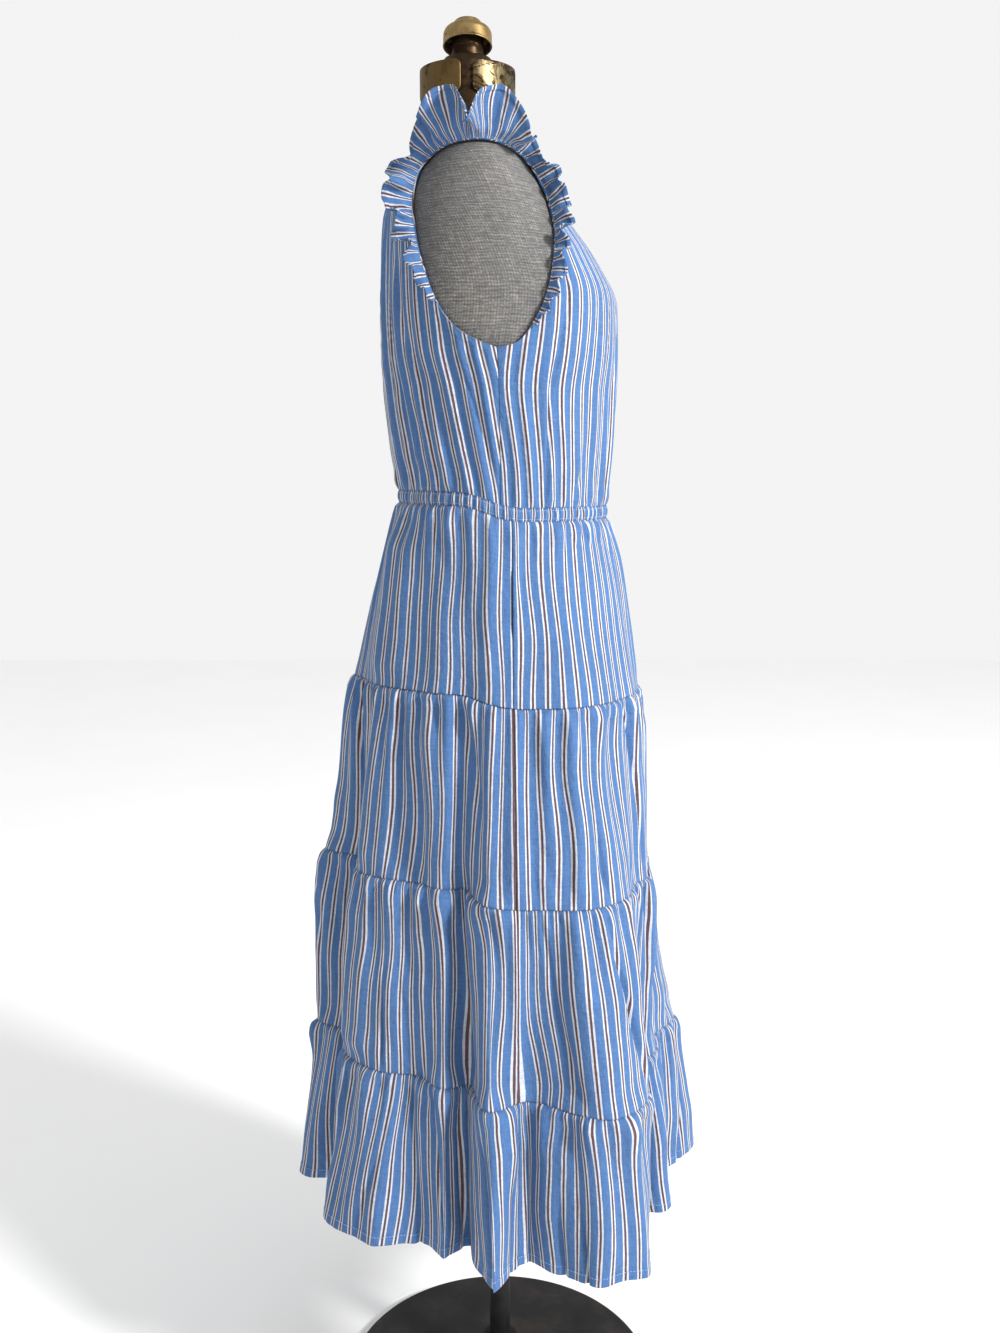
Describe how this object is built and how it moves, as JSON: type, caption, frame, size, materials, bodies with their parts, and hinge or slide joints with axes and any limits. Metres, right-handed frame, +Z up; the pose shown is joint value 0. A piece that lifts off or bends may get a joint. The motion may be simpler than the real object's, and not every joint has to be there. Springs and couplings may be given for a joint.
{
  "type": "tiered ruffle midi dress on a dress form",
  "caption": "Sleeveless striped midi dress with armhole ruffles, elastic waist and gathered skirt tiers, worn by a limbless dress form with a brass neck, a pole and a round foot.",
  "frame": {"origin": "centre of the underside of the round foot, on the pole's axis, at floor level", "axes": "+Z up along the pole; the front of the dress faces -Y; the wearer's right side faces -X"},
  "size_m": [0.5406, 0.4813, 1.6189],
  "materials": {
    "striped_cotton": "woven cotton with narrow white and brown stripes, matte",
    "pocket_cotton": "woven cotton, matte",
    "form_jersey": "grey melange jersey, matte",
    "aged_brass": "worn and dull",
    "stand_iron": "black, satin"
  },
  "bodies": {
    "root": {"bodice_front": "striped_cotton", "bodice_back": "striped_cotton", "waistband": "striped_cotton", "ruffle_right": "striped_cotton", "ruffle_left": "striped_cotton", "pocket_right": "pocket_cotton", "pocket_left": "pocket_cotton", "form_torso": "form_jersey", "neck_cap": "aged_brass", "stand_pole": "stand_iron", "stand_foot": "stand_iron", "neck_plate_1": "aged_brass", "tier_1_front": "striped_cotton", "tier_1_back": "striped_cotton", "neck_plate_2": "aged_brass", "tier_2_front": "striped_cotton", "tier_2_back": "striped_cotton", "neck_plate_3": "aged_brass", "tier_3_front": "striped_cotton", "tier_3_back": "striped_cotton", "neck_plate_4": "aged_brass", "tier_4_front": "striped_cotton", "tier_4_back": "striped_cotton", "neck_core": "aged_brass", "stand_hub": "stand_iron"}
  },
  "joints": []
}
